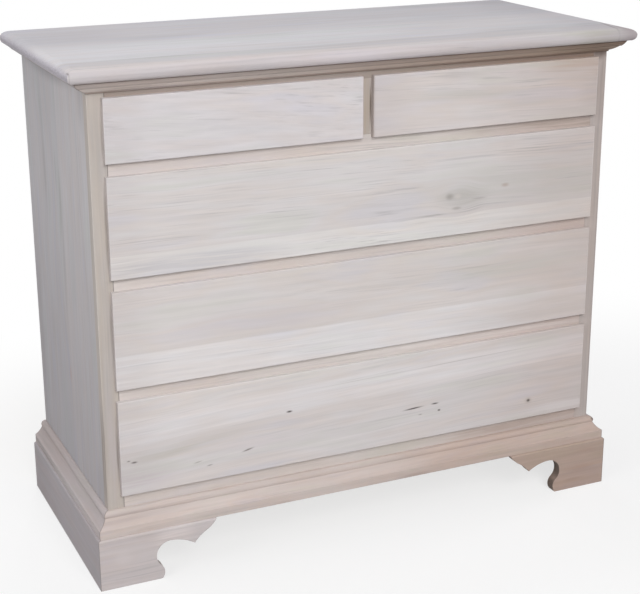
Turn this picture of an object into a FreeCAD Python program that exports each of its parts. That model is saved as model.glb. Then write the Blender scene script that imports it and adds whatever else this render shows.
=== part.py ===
import FreeCAD, Part
import math
import os

# Chest of drawers in millimetres: two small drawers over three large ones, lipped over a face frame,
# with a nosed top, a moulding under it, a base moulding and scrolled bracket feet.
# +X is to the right, +Y to the back, +Z up. The origin is on the floor, in the middle of the chest's box.

vector = FreeCAD.Vector
sides = {"left": -1, "right": 1}

# Case
case_width = 990.6
case_depth = 434.0
board_thickness = 19.0
stile_width = 29.0
stile_ease = 1.2
centre_stile_width = 30.0
rail_height = 32.0
large_opening_height = 164.7
small_opening_height = 98.0
large_drawers = ("lower", "middle", "upper")
back_thickness = 6.0
back_rebate = 10.0
back_rail_height = 60.0

# Top, with a rounded nose on its front and both sides
top_thickness = 22.2
top_overhang = 38.0
nose_upper_reach = 18.0
nose_lower_reach = 8.0

# Moulding under the top: an upper and a lower bowed band, with a quirk between them and a fillet below
crown_height = 21.8
crown_projection = 25.6
crown_band_height = 11.2
crown_band_projection = 18.4
crown_quirk = 1.6
crown_upper_bow = 0.9
crown_lower_bow = 0.8
crown_fillet_height = 2.2
crown_fillet_projection = 2.0
crown_reveal = 7.6

# Base moulding: a bead over a hollow slope over a flat fascia
base_height = 43.5
base_projection = 23.2
base_fascia_height = 16.2
bead_height = 11.6
bead_projection = 8.8
bead_set_back = 2.6
bead_bow = 3.8
slope_bow = 1.6
base_reveal = 24.6

# Bracket feet and side boards
foot_height = 96.0
foot_length = 217.2
foot_thickness = 19.0
foot_projection = 27.0
foot_ease = 3.5
toe_lean_degrees = 42.6
cusp_lean_degrees = 38.0
toe_shares = (0.518, 0.0)
arch_shares = ((0.513, 0.279), (0.476, 0.476), (0.601, 0.743), (0.804, 0.590))
ogee_shares = ((0.913, 0.804), (1.0, 1.0))
block_size = 50.0
block_floor_gap = 4.0

# Runners, with a fence beside each drawer side
runner_width = 40.0
runner_thickness = 20.0
fence_height = 15.0

# Drawers
lip_thickness = 9.8
lip_overlap = 5.3
lip_round = 1.6
tongue_depth = 9.2
tongue_head_gap = 3.0
drawer_side_thickness = 12.0
drawer_side_gap = 1.5
drawer_head_gap = 14.0
drawer_back_thickness = 12.0
drawer_back_drop = 8.0
drawer_back_gap = 20.0
bottom_thickness = 5.0
bottom_inset = 10.0
groove_depth = 6.0
groove_spare = 0.5
running_gap = 0.3

# Dovetails at the drawer corners: blind in the front, through the back
tail_spacing = 38.0
tail_cover = 1.6
tail_lean_degrees = 9.0
tail_width_share = 0.6

# Screws that hold the top to the top rail and the top back rail
screw_radius = 2.2
screw_head_radius = 4.2
screw_head_height = 2.6
screw_hole_gap = 0.3
screw_grip_share = 0.7
screw_bite_share = 0.65
screw_place_shares = (-0.32, 0.0, 0.32)

# Reach of cuts past the face that they open
overrun = 5.0

# Places worked out from the sizes above
case_half = case_width / 2
inner_half = case_half - board_thickness
opening_half = case_half - stile_width
front_y = (top_overhang - case_depth) / 2
frame_back_y = front_y + board_thickness
back_y = front_y + case_depth
back_face_y = back_y - back_thickness
back_rail_y = back_face_y - board_thickness
drawer_front_y = front_y + tongue_depth
drawer_back_y = back_rail_y - drawer_back_gap
bottom_rail_height = base_height + base_reveal + lip_overlap
top_rail_height = crown_height + crown_reveal + lip_overlap
base_top = foot_height + base_height
first_level = foot_height + bottom_rail_height
pitch = large_opening_height + rail_height
levels = {name: first_level + pitch * row for row, name in enumerate(large_drawers)}
levels["top"] = first_level + pitch * len(large_drawers)
small_opening_top = levels["top"] + small_opening_height
case_top = small_opening_top + top_rail_height
crown_bottom = case_top - crown_height
chest_height = case_top + top_thickness
small_opening_width = opening_half - centre_stile_width / 2
small_opening_middle = (opening_half + centre_stile_width / 2) / 2


def block(x_span, y_span, z_span):
    """A box between two places on each axis, given in either order."""
    lows = [min(span) for span in (x_span, y_span, z_span)]
    lengths = [max(span) - min(span) for span in (x_span, y_span, z_span)]
    return Part.makeBox(*lengths, vector(*lows))


def prism(points, sweep):
    """A flat polygon carried along a straight sweep."""
    return Part.Face(Part.makePolygon(points + points[:1])).extrude(sweep)


def line(start, end):
    return Part.LineSegment(start, end).toShape()


def quarter_round(start, corner, end):
    """A quarter of an ellipse from start to end, which would meet at the corner if it were square."""
    curve = Part.BezierCurve()
    curve.setPoles([start, corner, end])
    curve.setWeight(2, math.cos(math.pi / 4))
    return curve.toShape()


def bowed(start, end, bow, outward):
    """An arc whose middle stands off its chord by the bow, to the side that outward points to."""
    chord = end - start
    square = outward - chord * (outward.dot(chord) / chord.dot(chord))
    return Part.Arc(start, (start + end) / 2 + square.normalize() * bow, end).toShape()


def tangent_arc(start, heading, end):
    """An arc that leaves start along the heading and ends at end, and its heading there."""
    chord = end - start
    along = (end - start).normalize()
    ahead = heading.dot(along)
    middle = (start + end) / 2 + (heading - along * ahead) * (chord.Length / 2 / (1 + ahead))
    return Part.Arc(start, middle, end).toShape(), along * (2 * ahead) - heading


def run_along(run, projection, profile):
    """A profile carried along the front or one side of the case, mitred at the front corners.

    profile(at, outward) gives its edges, where at(out, height) is the point that far out from the case.
    """
    reach = projection + overrun
    edge_x, edge_y = case_half + reach, front_y - reach
    inner_x, inner_y = case_half - overrun, front_y + overrun
    if run == "front":
        outward = vector(0, -1, 0)
        start = lambda out, height: vector(-edge_x, front_y - out, height)
        sweep = vector(2 * edge_x, 0, 0)
        plan = [(-edge_x, edge_y), (edge_x, edge_y), (inner_x, inner_y), (-inner_x, inner_y)]
    else:
        side = sides[run]
        outward = vector(side, 0, 0)
        start = lambda out, height: vector(side * (case_half + out), edge_y, height)
        sweep = vector(0, case_depth + reach, 0)
        plan = [(side * inner_x, inner_y), (side * edge_x, edge_y),
                (side * edge_x, back_y + overrun), (side * inner_x, back_y + overrun)]
    solid = Part.Face(Part.Wire(profile(start, outward))).extrude(sweep)
    mitred = prism([vector(x, y, -overrun) for x, y in plan], vector(0, 0, chest_height + 2 * overrun))
    return solid.common(mitred)


def screw_places():
    """Middle of each screw on plan, with the bottom of the rail that it goes through."""
    front = (front_y + frame_back_y) / 2
    back = (back_rail_y + back_face_y) / 2
    for share in screw_place_shares:
        yield share * case_width, front, small_opening_top
        yield share * case_width, back, case_top - back_rail_height


def screw_shape(gap):
    """All top screws as one shape, swollen by the gap so that it can cut their holes."""
    grip = top_rail_height * screw_grip_share
    bite = top_thickness * screw_bite_share
    shapes = []
    for x, y, rail_bottom in screw_places():
        seat = vector(x, y, case_top - grip)
        shank = Part.makeCylinder(screw_radius + gap, grip + bite + gap, seat)
        depth = seat.z - rail_bottom if gap else screw_head_height
        head = Part.makeCylinder(screw_head_radius + gap, depth, seat - vector(0, 0, depth))
        shapes.append(shank.fuse(head))
    return Part.makeCompound(shapes)


def top_panel():
    """A flat board with a nose along its front and both sides, mitred at the front corners."""
    middle = case_top + top_thickness / 2
    flat_reach = top_overhang - nose_upper_reach

    def nose(at, _):
        under = at(top_overhang - nose_lower_reach, case_top)
        tip = at(top_overhang, middle)
        upper = at(flat_reach, chest_height)
        points = [upper, at(flat_reach, case_top), under]
        edges = [line(start, end) for start, end in zip(points, points[1:])]
        edges.append(quarter_round(under, at(top_overhang, case_top), tip))
        return edges + [quarter_round(tip, at(top_overhang, chest_height), upper)]

    flat_half = case_half + flat_reach
    board = block((-flat_half, flat_half), (front_y - flat_reach, back_y), (case_top, chest_height))
    noses = [run_along(run, top_overhang, nose) for run in ("front", "left", "right")]
    return board.multiFuse(noses).removeSplitter().cut(screw_shape(screw_hole_gap))


def side_panel(side):
    panel = block((side * inner_half, side * case_half), (frame_back_y, back_y), (foot_height, case_top))
    rebate = block((side * (inner_half - overrun), side * (inner_half + back_rebate)),
                   (back_face_y, back_y + overrun), (foot_height - overrun, case_top + overrun))
    return panel.cut(rebate)


def back_panel():
    reach = inner_half + back_rebate
    return block((-reach, reach), (back_face_y, back_y), (foot_height, case_top))


def back_rail(low, high):
    return block((-inner_half, inner_half), (back_rail_y, back_face_y), (low, high))


def stile(side):
    post = block((side * opening_half, side * case_half), (front_y, frame_back_y), (foot_height, case_top))
    corner = [edge for edge in post.Edges
              if edge.BoundBox.YMax < frame_back_y - board_thickness / 2
              and edge.BoundBox.ZLength > (case_top - foot_height) / 2
              and abs(edge.CenterOfMass.x) > case_half - stile_width / 2]
    return post.makeFillet(stile_ease, corner)


def rail(low, high):
    return block((-opening_half, opening_half), (front_y, frame_back_y), (low, high))


def crown(run):
    def profile(at, outward):
        band_top = crown_bottom + crown_band_height
        quirk_out = crown_band_projection - crown_quirk
        fillet_top = crown_bottom + crown_fillet_height
        points = [at(crown_fillet_projection, crown_bottom), at(0, crown_bottom), at(0, case_top),
                  at(crown_projection, case_top)]
        edges = [line(start, end) for start, end in zip(points, points[1:])]
        edges.append(bowed(points[-1], at(crown_band_projection, band_top), crown_upper_bow, outward))
        edges.append(line(at(crown_band_projection, band_top), at(quirk_out, band_top)))
        fillet = at(crown_fillet_projection, fillet_top)
        edges.append(bowed(at(quirk_out, band_top), fillet, crown_lower_bow, outward))
        return edges + [line(fillet, points[0])]

    return run_along(run, crown_projection, profile)


def base(run):
    def profile(at, outward):
        fascia_top = at(base_projection, foot_height + base_fascia_height)
        crease = at(bead_projection, base_top - bead_height)
        points = [fascia_top, at(base_projection, foot_height), at(0, foot_height), at(0, base_top),
                  at(bead_set_back, base_top)]
        edges = [line(start, end) for start, end in zip(points, points[1:])]
        edges.append(bowed(points[-1], crease, bead_bow, outward))
        return edges + [bowed(crease, fascia_top, -slope_bow, outward)]

    return run_along(run, base_projection, profile)


def skirt_board(run):
    """A plain board from the floor to the base moulding, with its upper outer edge eased."""
    def profile(at, _):
        inner = foot_projection - foot_thickness
        eased = at(foot_projection, foot_height - foot_ease)
        points = [eased, at(foot_projection, 0), at(inner, 0), at(inner, foot_height),
                  at(foot_projection - foot_ease, foot_height)]
        edges = [line(start, end) for start, end in zip(points, points[1:])]
        return edges + [quarter_round(points[-1], at(foot_projection, foot_height), eased)]

    return run_along(run, foot_projection, profile)


def front_foot(side):
    """A length of the front board under the scrolled outline of a bracket foot."""
    outer_x = side * (case_half + foot_projection)
    face_y = front_y - foot_projection - overrun

    def at(shares):
        return vector(outer_x - side * shares[0] * foot_length, face_y, shares[1] * foot_height)

    def leaning(degrees):
        angle = math.radians(degrees)
        return vector(-side * math.sin(angle), 0, math.cos(angle))

    edges = [line(vector(outer_x, face_y, 0), at(toe_shares))]
    here = at(toe_shares)
    for lean, stretch in ((toe_lean_degrees, arch_shares), (cusp_lean_degrees, ogee_shares)):
        heading = leaning(lean)
        for shares in stretch:
            edge, heading = tangent_arc(here, heading, at(shares))
            edges.append(edge)
            here = at(shares)
    top_corner = vector(outer_x, face_y, foot_height)
    edges += [line(here, top_corner), line(top_corner, vector(outer_x, face_y, 0))]
    scroll = Part.Face(Part.Wire(edges)).extrude(vector(0, foot_projection + 2 * overrun, 0))
    return skirt_board("front").common(scroll)


def corner_blocks():
    """Glue blocks behind the feet, which carry the corners of the case."""
    outer = case_half + foot_projection - foot_thickness
    front = front_y - foot_projection + foot_thickness
    blocks = [block((side * outer, side * (outer - block_size)), span, (block_floor_gap, foot_height))
              for side in sides.values()
              for span in ((front, front + block_size), (back_y - block_size, back_y))]
    return Part.makeCompound(blocks)


def runner(side, level):
    """A ledge under a drawer's side, with a fence that keeps the drawer square."""
    bottom = level - runner_thickness
    fence_top = level + fence_height
    ledge = inner_half - runner_width
    section = [(inner_half, bottom), (inner_half, fence_top), (opening_half, fence_top),
               (opening_half, level), (ledge, level), (ledge, bottom)]
    points = [vector(side * x, frame_back_y, z) for x, z in section]
    return prism(points, vector(0, back_face_y - frame_back_y, 0))


def centre_runner():
    """A ledge under the inner sides of both small drawers, with a fence between them."""
    level = levels["top"]
    fence = centre_stile_width / 2
    ledge = fence + runner_width - (stile_width - board_thickness)
    half_section = [(ledge, level - runner_thickness), (ledge, level), (fence, level),
                    (fence, level + fence_height)]
    section = half_section + [(-x, z) for x, z in reversed(half_section)]
    points = [vector(x, frame_back_y, z) for x, z in section]
    return prism(points, vector(0, back_face_y - frame_back_y, 0))


def tails(x_span, root_y, tip_y, z_span):
    """A row of dovetails on a drawer side, from their roots to their wider tips."""
    count = max(1, round((z_span[1] - z_span[0]) / tail_spacing))
    spacing = (z_span[1] - z_span[0]) / count
    root = spacing * tail_width_share / 2
    tip = root + abs(tip_y - root_y) * math.tan(math.radians(tail_lean_degrees))
    shapes = []
    for place in range(count):
        height = z_span[0] + spacing * (place + 1 / 2)
        outline = [(root_y, -root), (tip_y, -tip), (tip_y, tip), (root_y, root)]
        points = [vector(x_span[0], y, height + z) for y, z in outline]
        shapes.append(prism(points, vector(x_span[1] - x_span[0], 0, 0)))
    return shapes


def drawer(middle, level, opening_width, opening_height):
    """The five pieces of one drawer, which closes with its lip against the face frame."""
    floor = level + running_gap
    outer = opening_width / 2 - drawer_side_gap
    inner = outer - drawer_side_thickness
    lip = opening_width / 2 + lip_overlap
    side_top = level + opening_height - drawer_head_gap
    groove_low = floor + bottom_inset
    groove_high = groove_low + bottom_thickness
    groove_front = drawer_front_y - groove_depth
    groove = block((middle - inner - groove_depth, middle + inner + groove_depth),
                   (groove_front, drawer_back_y + overrun), (groove_low, groove_high))

    cover = block((middle - lip, middle + lip), (front_y - lip_thickness, front_y),
                  (level - lip_overlap, level + opening_height + lip_overlap))
    face_edges = [edge for edge in cover.Edges if edge.BoundBox.YMax < front_y - lip_thickness / 2]
    tongue = block((middle - outer, middle + outer), (front_y, drawer_front_y),
                   (floor, level + opening_height - tongue_head_gap))
    front = cover.makeFillet(lip_round, face_edges).fuse(tongue)
    back_root_y = drawer_back_y - drawer_back_thickness
    back_span = (groove_high, side_top - drawer_back_drop)
    back = block((middle - outer, middle + outer), (back_root_y, drawer_back_y), back_span)
    pieces = {}
    for name, side in sides.items():
        x_span = (middle + side * inner, middle + side * outer)
        board = block(x_span, (drawer_front_y, back_root_y), (floor, side_top))
        front_tails = tails(x_span, drawer_front_y, front_y + tail_cover, (floor, side_top))
        back_tails = tails(x_span, back_root_y, drawer_back_y, back_span)
        front = front.cut(front_tails)
        back = back.cut(back_tails)
        pieces[name + "_side"] = board.multiFuse(front_tails + back_tails).cut(groove)
    pieces["front"] = front.cut(groove)
    pieces["back"] = back
    reach = inner + groove_depth - groove_spare
    pieces["bottom"] = block((middle - reach, middle + reach), (groove_front + groove_spare, drawer_back_y),
                             (groove_low, groove_high))
    return pieces


def face_frame():
    holes = screw_shape(screw_hole_gap)
    half_stile = centre_stile_width / 2
    nodes = {"stile_" + name: stile(side) for name, side in sides.items()}
    nodes["centre_stile"] = block((-half_stile, half_stile), (front_y, frame_back_y),
                                  (levels["top"], small_opening_top))
    nodes["bottom_rail"] = rail(foot_height, first_level)
    for name, above in (("lower_rail", "middle"), ("middle_rail", "upper"), ("upper_rail", "top")):
        nodes[name] = rail(levels[above] - rail_height, levels[above])
    nodes["top_rail"] = rail(small_opening_top, case_top).cut(holes)
    nodes["top_back_rail"] = back_rail(case_top - back_rail_height, case_top).cut(holes)
    nodes["bottom_back_rail"] = back_rail(foot_height, first_level - runner_thickness)
    return nodes


def chest():
    """Every piece of the chest by its name."""
    nodes = {"top_panel": top_panel(), "back_panel": back_panel(), "corner_blocks": corner_blocks(),
             "centre_runner": centre_runner(), "top_screws": screw_shape(0)}
    nodes.update(face_frame())
    for run in ("front", "left", "right"):
        nodes["crown_" + run] = crown(run)
        nodes["base_" + run] = base(run)
    for name, side in sides.items():
        nodes["side_panel_" + name] = side_panel(side)
        nodes["side_skirt_" + name] = skirt_board(name)
        nodes["front_foot_" + name] = front_foot(side)
        for row, level in levels.items():
            nodes[row + "_runner_" + name] = runner(side, level)
        small = drawer(side * small_opening_middle, levels["top"],
                       small_opening_width, small_opening_height)
        nodes.update({"top_" + name + "_drawer_" + piece: shape for piece, shape in small.items()})
    for row in large_drawers:
        large = drawer(0, levels[row], 2 * opening_half, large_opening_height)
        nodes.update({row + "_drawer_" + piece: shape for piece, shape in large.items()})
    return nodes


os.makedirs("parts", exist_ok=True)
for node, shape in chest().items():
    shape.exportStep("parts/" + node + ".step")
print("chest height", round(chest_height, 1), "width", round(2 * (case_half + top_overhang), 1))
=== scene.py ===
import math

import bpy
from mathutils import Matrix, Vector


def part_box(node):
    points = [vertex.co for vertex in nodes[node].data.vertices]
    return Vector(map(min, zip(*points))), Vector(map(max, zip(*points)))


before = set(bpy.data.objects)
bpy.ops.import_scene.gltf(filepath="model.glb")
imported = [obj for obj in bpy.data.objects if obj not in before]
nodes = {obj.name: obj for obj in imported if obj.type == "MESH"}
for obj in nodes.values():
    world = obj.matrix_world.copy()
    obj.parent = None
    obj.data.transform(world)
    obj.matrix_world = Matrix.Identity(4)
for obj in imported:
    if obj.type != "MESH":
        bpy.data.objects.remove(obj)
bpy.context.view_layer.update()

print("frame loaded:", len(nodes), "nodes")


def linear(hexColour):  # sRGB hex to linear red, green, blue, alpha
    shares = [int(hexColour[at:at + 2], 16) / 255 for at in (1, 3, 5)]
    return [c / 12.92 if c <= 0.04045 else ((c + 0.055) / 1.055) ** 2.4 for c in shares] + [1.0]


mixA, mixB, mixOut = 6, 7, 2   # colour sockets of a Mix node
white = (1, 1, 1, 1)


# adds a node: settings go to its properties or inputs, links take a node or (node, outlet)
def addNode(tree, kind, settings=None, links=None):
    node = tree.nodes.new("ShaderNode" + kind)
    for key, value in (settings or {}).items():
        if key == "stops":
            elements = node.color_ramp.elements
            while len(elements) < len(value):
                elements.new(1.0)
            while len(elements) > len(value):
                elements.remove(elements[-1])
            for element, (place, colour) in zip(elements, value):
                element.position = place
                element.color = colour
        elif isinstance(key, str) and hasattr(node, key):
            setattr(node, key, value)
        else:
            node.inputs[key].default_value = value
    for key, source in (links or {}).items():
        source, outlet = source if isinstance(source, tuple) else (source, 0)
        tree.links.new(source.outputs[outlet], node.inputs[key])
    return node


def newMaterial(name):
    material = bpy.data.materials.new(name)
    material.use_nodes = True
    material.node_tree.nodes.clear()
    return material, material.node_tree


mm = 0.001
axes = {"x": 0, "y": 1, "z": 2}
grainTurn = {"x": (0, 0, 0), "y": (0, 0, -math.pi / 2), "z": (0, math.pi / 2, 0)}  # brings the grain onto X
plainDetail, fineDetail = 2.0, 3.0   # octaves of a noise
noiseRoughness = 0.55
farOff = 1000.0    # reach in metres along an axis that a spot ignores
pastBoard = 9000   # mm, for a mark that runs right across a board


def axisVector(letter, length=1.0):
    return [length if at == axes[letter] else 0.0 for at in range(3)]


# noise drawn out along the grain, from the length and width of one mark in mm
def grainNoise(tree, flow, lengthMm, widthMm, detail=plainDetail):
    size = (1 / (lengthMm * mm), 1 / (widthMm * mm), 1 / (widthMm * mm))
    stretched = addNode(tree, "Mapping", {"Scale": size}, {"Vector": flow})
    return addNode(tree, "TexNoise", {"Scale": 1.0, "Detail": detail, "Roughness": noiseRoughness},
                   {"Vector": stretched})


# 1 at a spot and 0 past its reach along and across the grain, for a knot, a check, a bend of the grain or a
# patch of painted shade or highlight
def spotShare(tree, look, spot):
    along, across = axes[look["grain"]], axes[look["across"]]
    through = 3 - along - across
    centre, reach, tilt = [0.0] * 3, [farOff] * 3, [0.0] * 3
    centre[along], centre[across] = spot["along"] * mm, spot["up"] * mm
    reach[along], reach[across] = spot["length"] * mm, spot["width"] * mm
    turnSign = 1 if (across - along) % 3 == 1 else -1   # so that a mark with a tilt rises along its board
    tilt[through] = turnSign * math.radians(spot.get("tilt", 0))
    centred = addNode(tree, "Mapping", {"vector_type": "TEXTURE", "Location": centre, "Rotation": tilt,
                                        "Scale": reach}, {"Vector": (look["object"], "Object")})
    distance = addNode(tree, "VectorMath", {"operation": "LENGTH"}, {0: centred})
    return addNode(tree, "MapRange", {"interpolation_type": "SMOOTHERSTEP", "From Min": 1.0, "From Max": 0.0},
                   {"Value": (distance, "Value")})


# marks and bends: places, sizes and pushes in mm along and across the board, tilts in degrees
def mark(along, up, length, width, share, tone, tilt=0):
    return {"along": along, "up": up, "length": length, "width": width,
            "share": share, "tone": tone, "tilt": tilt}


def bend(along, up, length, width, push):
    return {"along": along, "up": up, "length": length, "width": width, "push": push}


# Raw poplar, planed and sanded: chalky pale sapwood, clouded with faint pink, lilac and green-grey,
# crossed by soft streaks and short grey flecks, dull to the light, with darker, redder end grain.
# A size is the length and width of one mark in mm, and levels are where a noise goes from none to full.
poplar = {
    "grain": "x", "across": "z",            # axes along and across the board
    "seed": 0.0, "slant": 0.0,              # its place in the noise, and the grain's slope in degrees
    "boards": [(0, 0, 0, "#d6d0cf")],       # for each board: lower edge and softness in mm, dark line, tone
    "seamOrShadeReach": 1.3,                       # mm to each side of a dark line
    "driftSize": (420, 130), "wander": 16,  # waves of the grain, and mm that they carry it aside
    "clouds": (260, 44), "cloud": 0.06,     # a size, then its depth
    "streaks": (190, 6), "streak": 0.095,
    "fibres": (60, 1.8), "fibre": 0.04,     # real fibres are finer: drawn this coarse to show
    "rings": 7.5, "ring": 0.012,            # mm between growth lines
    "pith": (60, 90),                       # mm from the middle of the board to the heart of the tree
    "ringTaper": 0.01,                      # rings hardly change along the board
    "sawMarks": (5, 90), "sawn": 0.0,       # bands that the saw leaves across the grain, drawn coarse
    "tints": ["#fbfdf9", "#ffffff", "#fffcf9", "#fcfcff"],
    "firstTint": 0.32, "tintStep": 0.12,    # levels of a cloud that the tints stand at
    "flecks": (260, 3.0), "fleck": "#928e90", "fleckShare": 0.36,
    "fleckLevels": (0.55, 0.75), "gatherLevels": (0.40, 0.60),
    "ends": None,                           # darker along the board, from and to in mm, then its tint: heartwood, and in places painted shade
    "endGrain": "#a4948c", "endLevels": (0.45, 0.95),   # levels of how far a face turns to the end
    "poreSize": (30, 3.0), "poreLevels": (0.3, 0.7), "pores": (0.82, 1.08),
    "longMark": 60,                         # mm past which a mark breaks up along the streaks
    "breakLevels": (0.36, 0.64), "breaks": (0.2, 1.4),
    "edge": "#e2dddb", "edgeShare": 0.10,   # sanded edges are paler
    "edgeRadius": 1.4, "edgeLevels": (0.99, 0.75),
    "mitre": False,                         # a dark line where two boards meet at the front corners
    "marks": [], "bends": [],
    "roughness": (0.60, 0.76), "specular": 0.3,
    "streakRelief": 0.5, "ringRelief": 0.12, "bump": 0.5, "bumpHeight": 0.12,   # the height in mm
}
mitreLine = {"place": 297.3, "half": 0.8, "share": 0.5, "tone": "#5a4e48"}   # mm, place is width plus depth
seedSteps = (1.7, 0.91, 0.53)   # how far a seed moves the noise along each axis
boardMargin = 200               # mm that the tones run on past the outer boards


def sandedPoplar(name, changes):
    look = {**poplar, **changes}
    material, tree = newMaterial(name)
    look["object"] = addNode(tree, "TexCoord")
    whole = (look["object"], "Object")

    # bends push the grain and the board edges aside
    flow = whole
    for curve in look["bends"]:
        share = spotShare(tree, look, curve)
        push = axisVector(look["across"], curve["push"] * mm)
        flow = addNode(tree, "VectorMath", {"operation": "MULTIPLY_ADD", 1: push}, {0: share, 2: flow})
    place = addNode(tree, "SeparateXYZ", {}, {0: flow})
    slant = math.radians(look["slant"])
    turn = grainTurn[look["grain"]]
    turned = addNode(tree, "Mapping", {"Rotation": (turn[0], turn[1] + slant, turn[2] + slant),
                                       "Location": [look["seed"] * step for step in seedSteps]},
                     {"Vector": flow})
    drift = grainNoise(tree, turned, *look["driftSize"])
    sway = (0, look["wander"] * mm, look["wander"] * mm)
    flow = addNode(tree, "VectorMath", {"operation": "MULTIPLY_ADD", 1: sway},
                   {0: (drift, "Color"), 2: turned})

    # brightness: clouds, streaks, fibres and growth rings round the pith
    cloud = grainNoise(tree, flow, *look["clouds"])
    clouds = addNode(tree, "SeparateColor", {}, {0: (cloud, "Color")})   # three clouds at once
    streak = grainNoise(tree, flow, *look["streaks"], fineDetail)
    fibre = grainNoise(tree, flow, *look["fibres"])
    pithAt = (0, look["pith"][0] * mm, look["pith"][1] * mm)
    fromPith = addNode(tree, "Mapping", {"Scale": (look["ringTaper"], 1, 1), "Location": pithAt},
                       {"Vector": flow})
    radius = addNode(tree, "VectorMath", {"operation": "LENGTH"}, {0: fromPith})
    turns = addNode(tree, "Math", {"operation": "MULTIPLY", 1: 2 * math.pi / (look["rings"] * mm)},
                    {0: (radius, "Value")})
    ring = addNode(tree, "Math", {"operation": "SINE"}, {0: turns})
    level = 1 - look["cloud"] - look["streak"] - look["fibre"]   # so that the middle of each noise gives 1
    shade = addNode(tree, "Math", {"operation": "MULTIPLY_ADD", 1: 2 * look["cloud"], 2: level}, {0: clouds})
    for noise, depth in ((streak, 2 * look["streak"]), (fibre, 2 * look["fibre"]), (ring, look["ring"])):
        shade = addNode(tree, "Math", {"operation": "MULTIPLY_ADD", 1: depth}, {0: noise, 2: shade})
    if look["sawn"]:
        teeth = grainNoise(tree, flow, *look["sawMarks"])
        shade = addNode(tree, "Math", {"operation": "MULTIPLY_ADD", 1: look["sawn"]}, {0: teeth, 2: shade})

    # tone of each board across the panel, and the dark lines between boards: glue lines, or painted shade in
    # a crease
    boards = look["boards"]
    low, span = boards[0][0] - boardMargin, boards[-1][0] - boards[0][0] + 2 * boardMargin
    across = addNode(tree, "MapRange", {"From Min": low * mm, "From Max": (low + span) * mm},
                     {"Value": (place, axes[look["across"]])})
    stops, seamOrShadeStops = [], [(0.0, white)]
    for at, (edge, soft, seamOrShade, tone) in enumerate(boards):
        if at:
            stops.append(((edge - soft - low) / span, linear(boards[at - 1][3])))
            for offset, dark in ((-look["seamOrShadeReach"], 0), (0, seamOrShade), (look["seamOrShadeReach"], 0)):
                seamOrShadeStops.append(((edge + offset - low) / span, (1 - dark, 1 - dark, 1 - dark, 1)))
        stops.append(((edge + soft - low) / span, linear(tone)))
    tone = addNode(tree, "ValToRGB", {"stops": stops}, {0: across})
    colour = addNode(tree, "VectorMath", {"operation": "SCALE"}, {0: tone, "Scale": shade})
    if any(seamOrShade for _, _, seamOrShade, _ in boards):
        seams = addNode(tree, "ValToRGB", {"stops": seamOrShadeStops}, {0: across})
        colour = addNode(tree, "VectorMath", {"operation": "MULTIPLY"}, {0: colour, 1: seams})
    # darker towards one end of the board: heartwood, and in places painted shade
    if look["ends"]:
        start, stop, tint = look["ends"]
        heartOrShade = addNode(tree, "MapRange", {"interpolation_type": "SMOOTHSTEP", "From Min": start * mm,
                                           "From Max": stop * mm}, {"Value": (place, axes[look["grain"]])})
        heartOrShade = addNode(tree, "ValToRGB", {"stops": [(0, white), (1, linear(tint))]}, {0: heartOrShade})
        colour = addNode(tree, "VectorMath", {"operation": "MULTIPLY"}, {0: colour, 1: heartOrShade})

    # faint colour: tinted clouds, then grey flecks that gather in some of them
    tintStops = [(look["firstTint"] + look["tintStep"] * at, linear(tint))
                 for at, tint in enumerate(look["tints"])]
    tint = addNode(tree, "ValToRGB", {"stops": tintStops}, {0: (clouds, 1)})
    colour = addNode(tree, "VectorMath", {"operation": "MULTIPLY"}, {0: colour, 1: tint})
    fleck = grainNoise(tree, flow, *look["flecks"])
    fleck = addNode(tree, "MapRange", {"From Min": look["fleckLevels"][0], "From Max": look["fleckLevels"][1],
                                       "To Max": look["fleckShare"]}, {"Value": fleck})
    gather = addNode(tree, "MapRange", {"From Min": look["gatherLevels"][0],
                                        "From Max": look["gatherLevels"][1]}, {"Value": (clouds, 2)})
    fleck = addNode(tree, "Math", {"operation": "MULTIPLY"}, {0: fleck, 1: gather})
    colour = addNode(tree, "Mix", {"data_type": "RGBA", mixB: linear(look["fleck"])},
                     {0: fleck, mixA: colour})

    # end grain where the surface faces along the grain, pricked with pores
    facing = addNode(tree, "NewGeometry")
    along = addNode(tree, "VectorMath", {"operation": "DOT_PRODUCT", 1: axisVector(look["grain"])},
                    {0: (facing, "Normal")})
    square = addNode(tree, "Math", {"operation": "ABSOLUTE"}, {0: (along, "Value")})
    cut = addNode(tree, "MapRange", {"From Min": look["endLevels"][0], "From Max": look["endLevels"][1]},
                  {"Value": square})
    pores = grainNoise(tree, flow, *look["poreSize"], fineDetail)
    dots = addNode(tree, "MapRange", {"From Min": look["poreLevels"][0], "From Max": look["poreLevels"][1],
                                      "To Min": look["pores"][0], "To Max": look["pores"][1]},
                   {"Value": pores})
    endTone = addNode(tree, "VectorMath", {"operation": "SCALE", 0: linear(look["endGrain"])[:3]},
                      {"Scale": dots})
    colour = addNode(tree, "Mix", {"data_type": "RGBA"}, {0: cut, mixA: (colour, mixOut), mixB: endTone})
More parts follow.
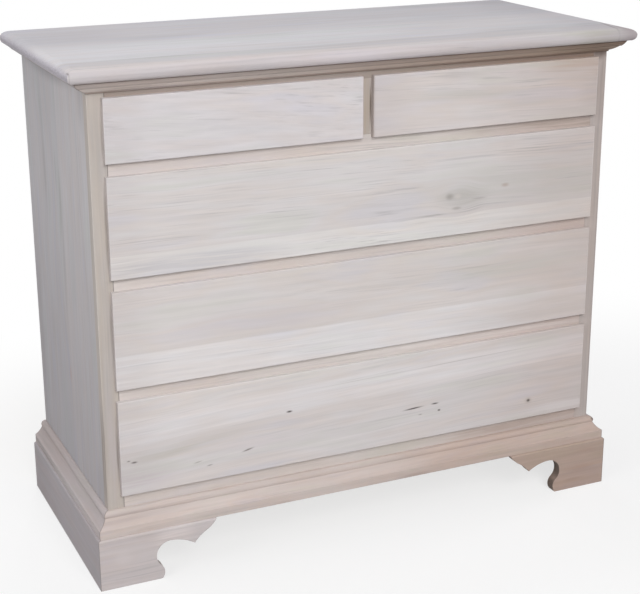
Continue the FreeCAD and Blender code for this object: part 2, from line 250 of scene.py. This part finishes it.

    # knots, checks and stains, and patches of painted shade, shadow and highlight
    broken = addNode(tree, "MapRange", {"From Min": look["breakLevels"][0],
                                        "From Max": look["breakLevels"][1],
                                        "To Min": look["breaks"][0], "To Max": look["breaks"][1]},
                     {"Value": streak})
    for spot in look["marks"]:
        share = spotShare(tree, look, spot)
        if spot["length"] > look["longMark"]:
            share = addNode(tree, "Math", {"operation": "MULTIPLY", "use_clamp": True}, {0: share, 1: broken})
        dark = addNode(tree, "Math", {"operation": "MULTIPLY", 1: spot["share"]}, {0: share})
        colour = addNode(tree, "Mix", {"data_type": "RGBA", mixB: linear(spot["tone"])},
                         {0: dark, mixA: (colour, mixOut)})
    if look["mitre"]:
        here = addNode(tree, "SeparateXYZ", {}, {0: whole})
        wide = addNode(tree, "Math", {"operation": "ABSOLUTE"}, {0: here})
        diagonal = addNode(tree, "Math", {"operation": "ADD"}, {0: wide, 1: (here, 1)})
        joint = addNode(tree, "Math", {"operation": "COMPARE", 1: mitreLine["place"] * mm,
                                       2: mitreLine["half"] * mm}, {0: diagonal})
        joint = addNode(tree, "Math", {"operation": "MULTIPLY", 1: mitreLine["share"]}, {0: joint})
        colour = addNode(tree, "Mix", {"data_type": "RGBA", mixB: linear(mitreLine["tone"])},
                         {0: joint, mixA: (colour, mixOut)})

    # sanded edges, where the rounded normal leaves the flat one: paler wear, or on the drawer fronts a darker
    # tone that is painted shade
    soft = addNode(tree, "Bevel", {"samples": 4, "Radius": look["edgeRadius"] * mm})
    agree = addNode(tree, "VectorMath", {"operation": "DOT_PRODUCT"}, {0: soft, 1: (facing, "Normal")})
    wearOrShade = addNode(tree, "MapRange", {"From Min": look["edgeLevels"][0], "From Max": look["edgeLevels"][1],
                                      "To Max": look["edgeShare"]}, {"Value": (agree, "Value")})
    colour = addNode(tree, "Mix", {"data_type": "RGBA", mixB: linear(look["edge"])},
                     {0: wearOrShade, mixA: (colour, mixOut)})

    # raised fibres, streaks and rings
    height = fibre
    for noise, relief in ((streak, look["streakRelief"]), (ring, look["ringRelief"])):
        height = addNode(tree, "Math", {"operation": "MULTIPLY_ADD", 1: relief}, {0: noise, 2: height})
    bump = addNode(tree, "Bump", {"Strength": look["bump"], "Distance": look["bumpHeight"] * mm},
                   {"Height": height, "Normal": soft})
    rough = addNode(tree, "MapRange", {"To Min": look["roughness"][0], "To Max": look["roughness"][1]},
                    {"Value": streak})
    surface = addNode(tree, "BsdfPrincipled", {"Specular IOR Level": look["specular"]},
                      {"Base Color": (colour, mixOut), "Roughness": rough, "Normal": bump})
    addNode(tree, "OutputMaterial", {}, {"Surface": surface})
    return material


def dress(names, material):
    for name in names:
        nodes[name].data.materials.clear()
        nodes[name].data.materials.append(material)


drawers = ["top_left_drawer", "top_right_drawer", "upper_drawer", "middle_drawer", "lower_drawer"]

# top: boards glued side by side, one seam showing, with rough end grain on the noses at both ends
topBoards = {
    "grain": "x", "across": "y", "seed": 3.1, "clouds": (300, 40),
    "boards": [(-240, 0, 0, "#c5bfc1"), (-229, 3, 0, "#d2cccd"), (-205, 8, 0, "#cbc8cb"),
               (-160, 1, 0.14, "#d3d1d5"), (20, 40, 0, "#c8c6cb")],
    "endGrain": "#c7c2ca", "pores": (0.68, 1.18), "ends": (350, 525, "#f3f2f4"),
    "marks": [mark(-530, -228, 2, 14, 0.6, "#6a6460"), mark(-335, -160, 190, 3, 0.70, "#a3a0a4"),
              mark(-330, -75, 330, 95, 0.45, "#dedde2"), mark(-310, 47, 160, 42, 0.45, "#b2b0b5"),
              mark(345, -145, 170, 36, 0.45, "#b3b1b4"), mark(250, -158, 260, 9, 0.30, "#b3b0b5", 0.6),
              mark(-480, 110, 240, 150, 0.42, "#afacb2"), mark(360, 205, 260, 36, 0.50, "#adaab0"),
              mark(490, 190, 80, 45, 0.35, "#aeabb1"), mark(485, -152, 75, 30, 0.50, "#a9a6ab"),
              mark(100, 130, 240, 12, 0.25, "#b4b2b7"),
              mark(90, 62, 360, 45, 0.50, "#d3d1d5"), mark(-255, -222, 75, 14, 0.30, "#d2c2c4"),
              mark(170, -214, 85, 16, 0.30, "#d4c3c5"),
              mark(0, -75, 220, 70, 0.40, "#dedde2"), mark(-20, -234, 300, 16, 0.40, "#d8cfd1"),
              mark(420, -226, 90, 16, 0.35, "#c3c1b2"), mark(455, -234, 75, 16, 0.38, "#a8a393"),
              mark(524, -218, 38, 46, 0.75, "#9f9396"),
              mark(507, -181, 4.5, 85, 0.60, "#857a7e", -13)],
}
dress(["top_panel"], sandedPoplar("sandedPoplarTop", topBoards))

# drawer fronts: wide flat-sawn boards, darker and warmer towards their right ends, partly heartwood and
# partly painted shade
smallKnot, check = "#a4958b", "#4d4642"
frontBoards = {
    "top_left_drawer": {"seed": 11.0, "boards": [(750, 0, 0, "#d4d0d2")], "slant": -4.0,
                        "flecks": (320, 3.6), "fleckShare": 0.34,
                        # the pale strip at the right end of this front is a painted highlight
                        "marks": [mark(-9.7, 808, 5, pastBoard, 0.5, "#e0d3d6")]},
    "top_right_drawer": {
        "seed": 12.3, "boards": [(750, 0, 0, "#d4cecd")], "slant": -1.5,
        # the pale strip at 470.5 is a painted highlight down the right edge, and the dark strip at 9.7 is
        # painted shade on the lip's left end
        "marks": [mark(470.5, 808, 2.5, 70, 0.5, "#dcd5d3"), mark(450, 855, 170, 50, 0.60, "#b8a294"),
                  mark(475, 800, 70, 100, 0.30, "#a59a97"), mark(9.7, 808, 4, pastBoard, 0.45, "#94847a"),
                  mark(200, 815, 190, 16, 0.45, "#b7b5af", -1), mark(190, 852, 95, 15, 0.40, "#b8b1ae"),
                  mark(330, 790, 150, 8, 0.35, "#bab4b0")],
    },
    "upper_drawer": {
        "seed": 13.7, "boards": [(550, 0, 0, "#dddad9"), (598, 0.8, 0.07, "#d5d1d1")],
        "slant": -1.0, "fleckShare": 0.46,
        "bends": [bend(180, 650, 70, 30, -10), bend(180, 604, 70, 30, 8)],
        "marks": [mark(-330, 574, 260, 34, 0.90, "#c9c6c8"), mark(310, 645, 330, 62, 0.40, "#b5b3ad"),
                  # the pale strip at 470.5 is a painted highlight down the right edge
                  mark(-130, 727, 430, 15, 0.45, "#d8d0c8"), mark(470.5, 645, 2.5, 112, 0.5, "#dcd5d3"),
                  mark(190, 624, 78, 34, 0.35, "#a8a29b"),
                  mark(164, 631, 13, 10, 0.42, "#7f7771"), mark(181, 630, 11, 9, 0.60, "#cfc8c4"),
                  mark(179, 608, 16, 5, 0.42, "#857d78"), mark(150, 600, 90, 3, 0.60, "#8f8986"),
                  mark(225, 622, 26, 2.5, 0.45, "#8f8783"), mark(280, 641, 13, 6, 0.45, "#a08578")],
    },
    "middle_drawer": {
        "seed": 14.9, "boards": [(350, 0, 0, "#dfdcdd"), (422, 0.8, 0.06, "#d6d1d0")],
        "slant": -1.0, "fleckShare": 0.20,
        "marks": [mark(-210, 452, 280, 42, 0.40, "#cbc3c5"), mark(0, 527, 560, 18, 0.35, "#d7cfc7"),
                  mark(290, 480, 240, 34, 0.45, "#bfbdb5"), mark(220, 490, 130, 3, 0.45, "#a5a09c"),
                  mark(420, 388, 330, 46, 0.60, "#c5bbb6"),
                  # the pale strip at 470.5 is a painted highlight down the right edge
                  mark(470.5, 448, 2.5, 112, 0.4, "#d8d1cf")],
    },
    "lower_drawer": {
        "seed": 15.2, "boards": [(160, 0, 0, "#d5d0d0"), (278, 4, 0, "#dedadb"), (324, 5, 0, "#d9d4d3")],
        "slant": 0.5, "fleckShare": 0.22, "streak": 0.11,
        "bends": [bend(-470, 250, 940, 900, 16), bend(-470, 250, 210, 900, 6)],
        # the pale strip at 470.5 is a painted highlight down the right edge
        "marks": [mark(-200, 331, 340, 13, 0.40, "#dad1ca"), mark(470.5, 252, 2.5, 112, 0.4, "#d8d1cf"),
                  mark(126, 308, 360, 1.6, 0.40, "#9d9492", 1.2),
                  mark(-330, 241, 150, 18, 0.40, "#aeaa9f", 6),
                  mark(-440, 192, 110, 30, 0.55, "#c8bcc2"), mark(-215, 222, 130, 22, 0.35, "#d6cccf"),
                  mark(-400, 232, 120, 20, 0.30, "#b7b3ab", 4),
                  mark(-447, 225, 9, 3.0, 1.0, check), mark(-457, 229, 5, 2.0, 0.8, check),
                  mark(-155, 268, 9, 3.2, 1.0, check), mark(-236, 209, 17, 2.6, 0.85, "#6b625f", 12),
                  mark(-309, 193, 9, 2.0, 0.6, "#6b625f", 6), mark(-331, 203, 13, 1.8, 0.5, "#7b726e", 8),
                  mark(97, 229, 31, 2.6, 1.0, check, 3), mark(143, 231, 12, 2.6, 0.95, check),
                  mark(152, 216, 5, 3.2, 0.95, check), mark(112, 214, 7, 2.0, 0.5, "#6b625f"),
                  mark(420, 178, 120, 26, 0.40, "#ded8d8"),
                  mark(350, 201, 13, 10, 0.40, smallKnot), mark(350, 201, 6, 5, 0.95, check)],
    },
}
# fronts: the darker lip edges are painted shade that damps their highlight
frontEdges = {"endGrain": "#c2bbb9", "edge": "#c8bfbb", "edgeShare": 0.30, "ends": (120, 480, "#f1ebe8")}
leftShadeEdge = {"length": 110, "share": 0.28, "tone": "#b4abaa"}   # painted shade along the left edge of each front
for drawer, board in frontBoards.items():
    (left, _, low), (_, _, high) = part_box(drawer + "_front")
    leftShade = mark(left / mm, (low + high) / 2 / mm, leftShadeEdge["length"], pastBoard, leftShadeEdge["share"],
                leftShadeEdge["tone"])
    board["marks"].append(leftShade)
    dress([drawer + "_front"], sandedPoplar("sandedPoplar_" + drawer, {**frontEdges, **board}))

# sides: two upright boards each, darker towards the bottom and in a band just under the top, both painted
# shade
sideBoards = {
    "grain": "z", "across": "y", "seed": 21.0, "boards": [(-200, 0, 0, "#cfcccf"), (8, 1, 0.10, "#c9c7cb")],
    # ends: darker towards the bottom, painted shade
    "streak": 0.125, "ends": (760, 160, "#e9e8e9"),
    "bends": [bend(690, 95, 190, 90, 20), bend(500, 30, 220, 80, -16)],
    "marks": [mark(700, 112, 150, 14, 0.45, "#a3a0a3"), mark(800, 118, 90, 16, 0.35, "#a9a6a9"),
              mark(560, 8, 260, 16, 0.45, "#a09d9e"), mark(690, 32, 70, 8, 0.40, "#a3a0a3"),
              mark(320, 8, 28, 9, 0.35, "#c09a92"), mark(320, 222, 420, 38, 0.45, "#9c999c"),
              mark(155, -165, 90, 45, 0.35, "#a3a0a3"), mark(855, -165, 80, 45, 0.35, "#a3a0a3"),
              # painted shade just under the top's overhang
              mark(872, 60, 30, 260, 0.40, "#848187")],
}
dress(["side_panel_left", "side_panel_right"], sandedPoplar("sandedPoplarSide", sideBoards))

# stiles, with painted shade at the top and down the right edge of the right stile and on the centre stile
# beside the top drawers, and a painted shadow just past the lips of each drawer
stileBoards = {
    "grain": "z", "across": "x", "seed": 31.0,
    "boards": [(-494.6, 0, 0, "#ded5d0"), (-494.2, 0.2, 0, "#bcb5af"), (0, 200, 0, "#bcb2ae"),
               (494.4, 0.2, 0, "#c8c0bd")],
    # the dark patch at 870, 481 is painted shade at the top of the right stile, under the crown
    "marks": [mark(870, 481, 20, 38, 0.85, "#5f5048"), mark(220, -495, 170, 4, 0.9, "#a0968f"),
              mark(790, -482, 130, 16, 0.42, "#a49f9c"), mark(250, -482, 170, 16, 0.35, "#bdb4b9"),
              # on the centre stile: a tan that is partly painted shade, and a dark line that is painted shade
              # where the top right lip meets it
              mark(810, 0, 130, 14, 0.6, "#b2a28b"), mark(810, 7.8, 58, 2.6, 0.90, "#5f5047"),
              # painted shade on the right stile's upper part and down its right edge
              mark(800, 484, 110, 22, 0.65, "#9c8f8b"),
              mark(500, 494, 900, 4, 0.45, "#8f8583")],
}
lipShadow = {
    "gap": 1.8, "width": 3.3, "reach": 0.62,   # mm, mm, share of the front's height
    "share": 0.55, "tone": "#6a625d",
}
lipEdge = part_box("lower_drawer_front")[1][0] / mm + lipShadow["gap"]
for drawer in drawers[1:]:
    low, high = [corner[2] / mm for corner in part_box(drawer + "_front")]
    for side in (-1, 1):
        shadow = mark((low + high) / 2, side * lipEdge, lipShadow["reach"] * (high - low), lipShadow["width"],
                      lipShadow["share"], lipShadow["tone"])
        stileBoards["marks"].append(shadow)
dress(["stile_left", "stile_right", "centre_stile"], sandedPoplar("sandedPoplarStile", stileBoards))

# rails, with dark lines where they meet the stiles, and a painted shadow on the upper rail under the top
# right drawer
jointTick = {"place": 466, "up": 500, "length": 1.6, "shares": {-1: 0.8, 1: 0.25}, "tone": "#57504b"}   # mm
jointTicks = [mark(side * jointTick["place"], jointTick["up"], jointTick["length"], pastBoard, share,
                   jointTick["tone"]) for side, share in jointTick["shares"].items()]
railBoards = {
    "grain": "x", "across": "z", "seed": 41.0, "boards": [(0, 0, 0, "#d2cac6")],
    # the dark patch at 400, 743 is a painted shadow under the top right drawer's lip
    "marks": jointTicks + [mark(150, 350, 480, 16, 0.55, "#e6dedb"), mark(400, 743, 280, 16, 0.85, "#a6988f"),
                           mark(400, 150, 500, 20, 0.70, "#b09e94")],
    "ends": (100, 460, "#efe7e5"),
}
dress(["upper_rail", "middle_rail", "lower_rail", "bottom_rail"],
      sandedPoplar("sandedPoplarRail", railBoards))
# the top rail's dark tone, darker still to the right, is painted shade under the crown
shadedTopRail = {"boards": [(0, 0, 0, "#a69a93")], "ends": (-100, 460, "#dccfc5")}
dress(["top_rail"], sandedPoplar("sandedPoplarTopRail", {**railBoards, **shadedTopRail}))

# mouldings, cut from pinker, tanner stock
mouldingBoards = {"grain": "x", "across": "z", "seed": 51.0, "boards": [(0, 0, 0, "#ccc0bb")], "mitre": True}
baseFront = {
    "ends": (-80, 260, "#f1e8e2"), "cloud": 0.09, "clouds": (120, 24), "streak": 0.11,
    "marks": [mark(-500, 126, 230, 18, 0.55, "#aea09d"), mark(95, 99, 55, 5, 0.40, "#a08d85"),
              mark(-175, 98, 36, 4, 0.30, "#a5938c"), mark(250, 108, 120, 7, 0.30, "#b79f93"),
              # the dark spot at 505, 135 is painted shade at the right end of the bead
              mark(410, 104, 90, 8, 0.30, "#b39b91"), mark(505, 135, 8, 6, 0.85, "#5a4f4a")],
}
dress(["base_front"], sandedPoplar("sandedPoplarBase", {**mouldingBoards, **baseFront}))
# crown: its tones are painted light and shade, and it darkens to the right, partly heartwood and partly
# painted shade
crownBoards = {
    **mouldingBoards, "ends": (-450, 500, "#cdbfb2"), "streak": 0.15, "streaks": (120, 3.5),
    # the dark patch at its right end is painted shade
    "marks": [mark(-430, 876, 100, 6, 0.40, "#8a7c76"), mark(490, 881, 170, 60, 0.62, "#5a4a3e")],
    # bands from the foot up: painted shade on the fillet, a paler lower band that is painted light, a darker
    # upper band with painted shade in the quirk, and a painted shadow under the nose
    "boards": [(868, 0, 0, "#93857d"), (872.6, 0.4, 0, "#ede2dc"), (881.6, 0.6, 0.30, "#c2b6b1"),
               (890.2, 0.7, 0, "#7f726d")],
}
dress(["crown_front"], sandedPoplar("sandedPoplarCrown", crownBoards))
sideMouldings = {
    **mouldingBoards, "grain": "y", "ends": (-100, 230, "#f5f2f0"),
    "marks": [mark(160, 104, 240, 10, 0.95, "#9b9392")],
    "boards": [(90, 0, 0, "#c6bebf"), (112.2, 0.5, 0, "#bbb2b2"), (127.9, 0.5, 0, "#c1b8b8"),
               (500, 1, 0, "#c3bbba")],
}
dress(["base_left", "base_right", "crown_left", "crown_right"],
      sandedPoplar("sandedPoplarSideMoulding", sideMouldings))

# bracket feet, the right one of darker heartwood, and the side boards
footBoards = {"grain": "x", "across": "z", "seed": 61.0, "boards": [(0, 0, 0, "#c8c0c0")], "mitre": True}
leftFoot = {"marks": [mark(-385, 82, 62, 40, 0.75, "#ded4d2"), mark(-480, 55, 26, 24, 0.40, "#d3cccd")]}
dress(["front_foot_left"], sandedPoplar("sandedPoplarLeftFoot", {**footBoards, **leftFoot}))
rightFoot = {
    # end grain, toned darker still as painted shade on the inner face of the scroll
    "boards": [(0, 0, 0, "#b39e93")], "streak": 0.11, "endGrain": "#75675f",
    "marks": [mark(470, 40, 46, 12, 0.22, "#9c8072"), mark(452, 20, 34, 6, 0.22, "#8f786c"),
              mark(480, 78, 40, 7, 0.22, "#a58676")],
}
dress(["front_foot_right"], sandedPoplar("sandedPoplarRightFoot", {**footBoards, **rightFoot}))
skirtBoards = {"grain": "y", "boards": [(0, 0, 0, "#b4aeb2")], "ends": (20, 230, "#f6f5f5")}
dress(["side_skirt_left", "side_skirt_right"],
      sandedPoplar("sandedPoplarSkirt", {**footBoards, **skirtBoards}))

# inside: sawn rails, runners and blocks, planed drawer sides and backs
sawnBoards = {"seed": 71.0, "boards": [(0, 0, 0, "#cdbda8")], "sawn": 0.16, "roughness": (0.72, 0.88),
              "endGrain": "#ad967e", "tints": ["#fbfaf2", "#ffffff", "#fff6ee", "#faf4ec"]}
dress([name for name in nodes if "runner" in name],
      sandedPoplar("sawnPoplarRunner", {**sawnBoards, "grain": "y"}))
dress(["top_back_rail", "bottom_back_rail"], sandedPoplar("sawnPoplarBackRail", sawnBoards))
dress(["corner_blocks"], sandedPoplar("sawnPoplarBlock", {**sawnBoards, "grain": "z", "across": "x"}))
drawerSides = {"grain": "y", "seed": 81.0, "boards": [(0, 0, 0, "#d8cdbf")], "endGrain": "#b49d86",
               "tints": ["#fbfaf2", "#ffffff", "#fff8f2", "#fbf6f0"]}
dress([name for name in nodes if "drawer" in name and name.endswith("_side")],
      sandedPoplar("planedPoplarDrawerSide", drawerSides))
dress([drawer + "_back" for drawer in drawers],
      sandedPoplar("planedPoplarDrawerBack", {**drawerSides, "grain": "x", "seed": 83.0}))
print("woods done")


# Birch plywood: a peeled face veneer with broad waving figure, and thin pale and brown plies on its edges.
plywood = {
    "face": "#d3c2a6", "figure": "#c6b190", "figureSize": (420, 60), "figureLevels": (0.35, 0.68),
    "driftSize": (300, 120), "wander": 30,               # mm
    "fibres": (45, 1.6), "fibreLevels": (0.2, 0.8), "lift": (0.94, 1.06),
    "lines": 11, "line": 0.035,                          # growth lines in the figure, and their depth
    "ply": 1.25, "dark": "#8d6f4f", "pale": "#cdb792",   # mm in one ply
    "faceTurn": 0.7,                                     # a surface that turns less to the face is an edge
    "roughness": (0.55, 0.72), "specular": 0.35, "bump": 0.4, "bumpHeight": 0.1,   # the height in mm
}


def birchPlywood(name, through):
    material, tree = newMaterial(name)
    spot = (addNode(tree, "TexCoord"), "Object")
    drift = grainNoise(tree, spot, *plywood["driftSize"])
    sway = (0, plywood["wander"] * mm, plywood["wander"] * mm)
    flow = addNode(tree, "VectorMath", {"operation": "MULTIPLY_ADD", 1: sway}, {0: (drift, "Color"), 2: spot})
    figure = grainNoise(tree, flow, *plywood["figureSize"], fineDetail)
    fibre = grainNoise(tree, flow, *plywood["fibres"])
    wave = addNode(tree, "MapRange", {"From Min": plywood["figureLevels"][0],
                                      "From Max": plywood["figureLevels"][1]}, {"Value": figure})
    face = addNode(tree, "Mix", {"data_type": "RGBA", mixA: linear(plywood["face"]),
                                 mixB: linear(plywood["figure"])}, {0: wave})
    lift = addNode(tree, "MapRange", {"From Min": plywood["fibreLevels"][0],
                                      "From Max": plywood["fibreLevels"][1],
                                      "To Min": plywood["lift"][0], "To Max": plywood["lift"][1]},
                   {"Value": fibre})
    peel = addNode(tree, "Math", {"operation": "MULTIPLY", 1: 2 * math.pi * plywood["lines"]}, {0: figure})
    peel = addNode(tree, "Math", {"operation": "SINE"}, {0: peel})   # growth lines, like contours on a map
    lift = addNode(tree, "Math", {"operation": "MULTIPLY_ADD", 1: plywood["line"]}, {0: peel, 2: lift})
    face = addNode(tree, "VectorMath", {"operation": "SCALE"}, {0: (face, mixOut), "Scale": lift})
    place = addNode(tree, "SeparateXYZ", {}, {0: spot})
    layer = addNode(tree, "Math", {"operation": "PINGPONG", 1: plywood["ply"] * mm},
                    {0: (place, axes[through])})
    layer = addNode(tree, "Math", {"operation": "GREATER_THAN", 1: plywood["ply"] * mm / 2}, {0: layer})
    edge = addNode(tree, "Mix", {"data_type": "RGBA", mixA: linear(plywood["dark"]),
                                 mixB: linear(plywood["pale"])}, {0: layer})
    facing = addNode(tree, "NewGeometry")
    square = addNode(tree, "VectorMath", {"operation": "DOT_PRODUCT", 1: axisVector(through)},
                     {0: (facing, "Normal")})
    square = addNode(tree, "Math", {"operation": "ABSOLUTE"}, {0: (square, "Value")})
    onFace = addNode(tree, "Math", {"operation": "GREATER_THAN", 1: plywood["faceTurn"]}, {0: square})
    colour = addNode(tree, "Mix", {"data_type": "RGBA"}, {0: onFace, mixA: (edge, mixOut), mixB: face})
    bump = addNode(tree, "Bump", {"Strength": plywood["bump"], "Distance": plywood["bumpHeight"] * mm},
                   {"Height": fibre})
    rough = addNode(tree, "MapRange", {"To Min": plywood["roughness"][0], "To Max": plywood["roughness"][1]},
                    {"Value": figure})
    surface = addNode(tree, "BsdfPrincipled", {"Specular IOR Level": plywood["specular"]},
                      {"Base Color": (colour, mixOut), "Roughness": rough, "Normal": bump})
    addNode(tree, "OutputMaterial", {}, {"Surface": surface})
    return material


dress([drawer + "_bottom" for drawer in drawers], birchPlywood("birchPlywoodBottom", "z"))
dress(["back_panel"], birchPlywood("birchPlywoodBack", "y"))


# Zinc-plated steel: a bright, slightly blue metal with a patchy satin shine.
zinc = {"tone": "#c3c7cb", "patch": "#a9aeb3", "patchSize": 3.0, "roughness": (0.28, 0.45)}   # size in mm


def zincSteel(name):
    material, tree = newMaterial(name)
    spot = (addNode(tree, "TexCoord"), "Object")
    patch = grainNoise(tree, spot, zinc["patchSize"], zinc["patchSize"])
    colour = addNode(tree, "Mix", {"data_type": "RGBA", mixA: linear(zinc["tone"]),
                                   mixB: linear(zinc["patch"])}, {0: patch})
    rough = addNode(tree, "MapRange", {"To Min": zinc["roughness"][0], "To Max": zinc["roughness"][1]},
                    {"Value": patch})
    surface = addNode(tree, "BsdfPrincipled", {"Metallic": 1.0},
                      {"Base Color": (colour, mixOut), "Roughness": rough})
    addNode(tree, "OutputMaterial", {}, {"Surface": surface})
    return material


dress(["top_screws"], zincSteel("zincSteel"))
print("sheet and steel done")


# camera from the photograph's own perspective
photoCamera = {
    "place": (-1.0960, -2.4356, 1.3039), "turn": 24.344, "dip": 17.997, "roll": 0.196,   # metres, degrees
    "sensor": 36, "lens": 81.95, "shift": (-0.0045, -0.0282),   # mm, mm, share of the frame
}
cameraData = bpy.data.cameras.new("photoCamera")
cameraData.sensor_width = photoCamera["sensor"]
cameraData.lens = photoCamera["lens"]
cameraData.shift_x, cameraData.shift_y = photoCamera["shift"]
camera = bpy.data.objects.new("photoCamera", cameraData)
aim = Matrix.Rotation(-math.radians(photoCamera["turn"]), 4, "Z")
aim = aim @ Matrix.Rotation(math.radians(90 - photoCamera["dip"]), 4, "X")
aim = aim @ Matrix.Rotation(-math.radians(photoCamera["roll"]), 4, "Z")
camera.matrix_world = Matrix.Translation(photoCamera["place"]) @ aim
bpy.context.scene.collection.objects.link(camera)
bpy.context.scene.camera = camera
print("camera set")

# soft studio light: a broad lamp in front, weaker ones round the chest, and a pale room
lamps = {
    "frontLamp": {"place": (-0.5, -5.2, 3.5), "target": (0, -0.2, 0.5), "size": 3.0, "power": 224},
    "leftLamp": {"place": (-3.6, -1.6, 2.5), "target": (-0.4, 0, 0.5), "size": 2.0, "power": 59},
    "topLamp": {"place": (-0.4, 1.3, 3.6), "target": (-0.1, 0, 0.9), "size": 1.6, "power": 27.5},
    "backLamp": {"place": (0.9, 4.2, 0.5), "target": (0, 0.2, 0.45), "size": 0.7, "power": 60},
    "rightLamp": {"place": (4.4, 0.7, 0.5), "target": (0.5, 0, 0.45), "size": 0.7, "power": 75},
}   # metres, watts
for name, lamp in lamps.items():
    data = bpy.data.lights.new(name, "AREA")
    data.size = lamp["size"]
    data.energy = lamp["power"]
    light = bpy.data.objects.new(name, data)
    direction = Vector(lamp["target"]) - Vector(lamp["place"])
    turn = direction.to_track_quat("-Z", "Y").to_matrix().to_4x4()
    light.matrix_world = Matrix.Translation(lamp["place"]) @ turn
    bpy.context.scene.collection.objects.link(light)


# 1 for rays that show the picture, straight, mirrored or through glass, and 0 for those that light the chest
def seenShare(tree):
    path = addNode(tree, "LightPath")
    seen = addNode(tree, "Math", {"operation": "MAXIMUM"},
                   {0: (path, "Is Camera Ray"), 1: (path, "Is Glossy Ray")})
    return addNode(tree, "Math", {"operation": "MAXIMUM"}, {0: seen, 1: (path, "Is Transmission Ray")})


room = {"tone": "#f8f8fc", "strength": 0.20}
world = bpy.data.worlds.new("paleRoom")
bpy.context.scene.world = world
world.use_nodes = True
tree = world.node_tree
tree.nodes.clear()
roomLight = addNode(tree, "Background", {"Color": linear(room["tone"]), "Strength": room["strength"]})
backdrop = addNode(tree, "Background", {"Color": white, "Strength": 1.0})
mixed = addNode(tree, "MixShader", {}, {0: seenShare(tree), 1: roomLight, 2: backdrop})
addNode(tree, "OutputWorld", {}, {"Surface": mixed})

# pale floor that turns plain white away from the chest
floorLook = {
    "half": 14.0,                                               # metres
    "tone": "#f4f4f4", "bounce": "#bab8b7",                     # what is seen, and what lights the chest
    "near": 0.45, "far": 1.15, "squeeze": 0.62, "keep": 0.30,   # where it fades in metres, drawn out along X
}
corners = [(x * floorLook["half"], y * floorLook["half"], 0) for x, y in ((-1, -1), (1, -1), (1, 1), (-1, 1))]
floorMesh = bpy.data.meshes.new("floor")
floorMesh.from_pydata(corners, [], [(0, 1, 2, 3)])
floor = bpy.data.objects.new("floor", floorMesh)
bpy.context.scene.collection.objects.link(floor)
floorMaterial, tree = newMaterial("paleStudioFloor")
spot = addNode(tree, "TexCoord")
flat = addNode(tree, "Mapping", {"Scale": (floorLook["squeeze"], 1, 1)}, {"Vector": (spot, "Object")})
distance = addNode(tree, "VectorMath", {"operation": "LENGTH"}, {0: flat})
fade = addNode(tree, "MapRange", {"interpolation_type": "SMOOTHSTEP", "From Min": floorLook["near"],
                                  "From Max": floorLook["far"], "To Min": 1 - floorLook["keep"]},
               {"Value": (distance, "Value")})
matt = addNode(tree, "BsdfDiffuse", {"Color": linear(floorLook["tone"])})
glow = addNode(tree, "Emission", {"Color": white, "Strength": 1.0})
shown = addNode(tree, "MixShader", {}, {0: fade, 1: matt, 2: glow})
bounce = addNode(tree, "BsdfDiffuse", {"Color": linear(floorLook["bounce"])})
mixed = addNode(tree, "MixShader", {}, {0: seenShare(tree), 1: bounce, 2: shown})
addNode(tree, "OutputMaterial", {}, {"Surface": mixed})
floorMesh.materials.append(floorMaterial)
bpy.context.scene.view_settings.view_transform = "Standard"
print("light and floor done")
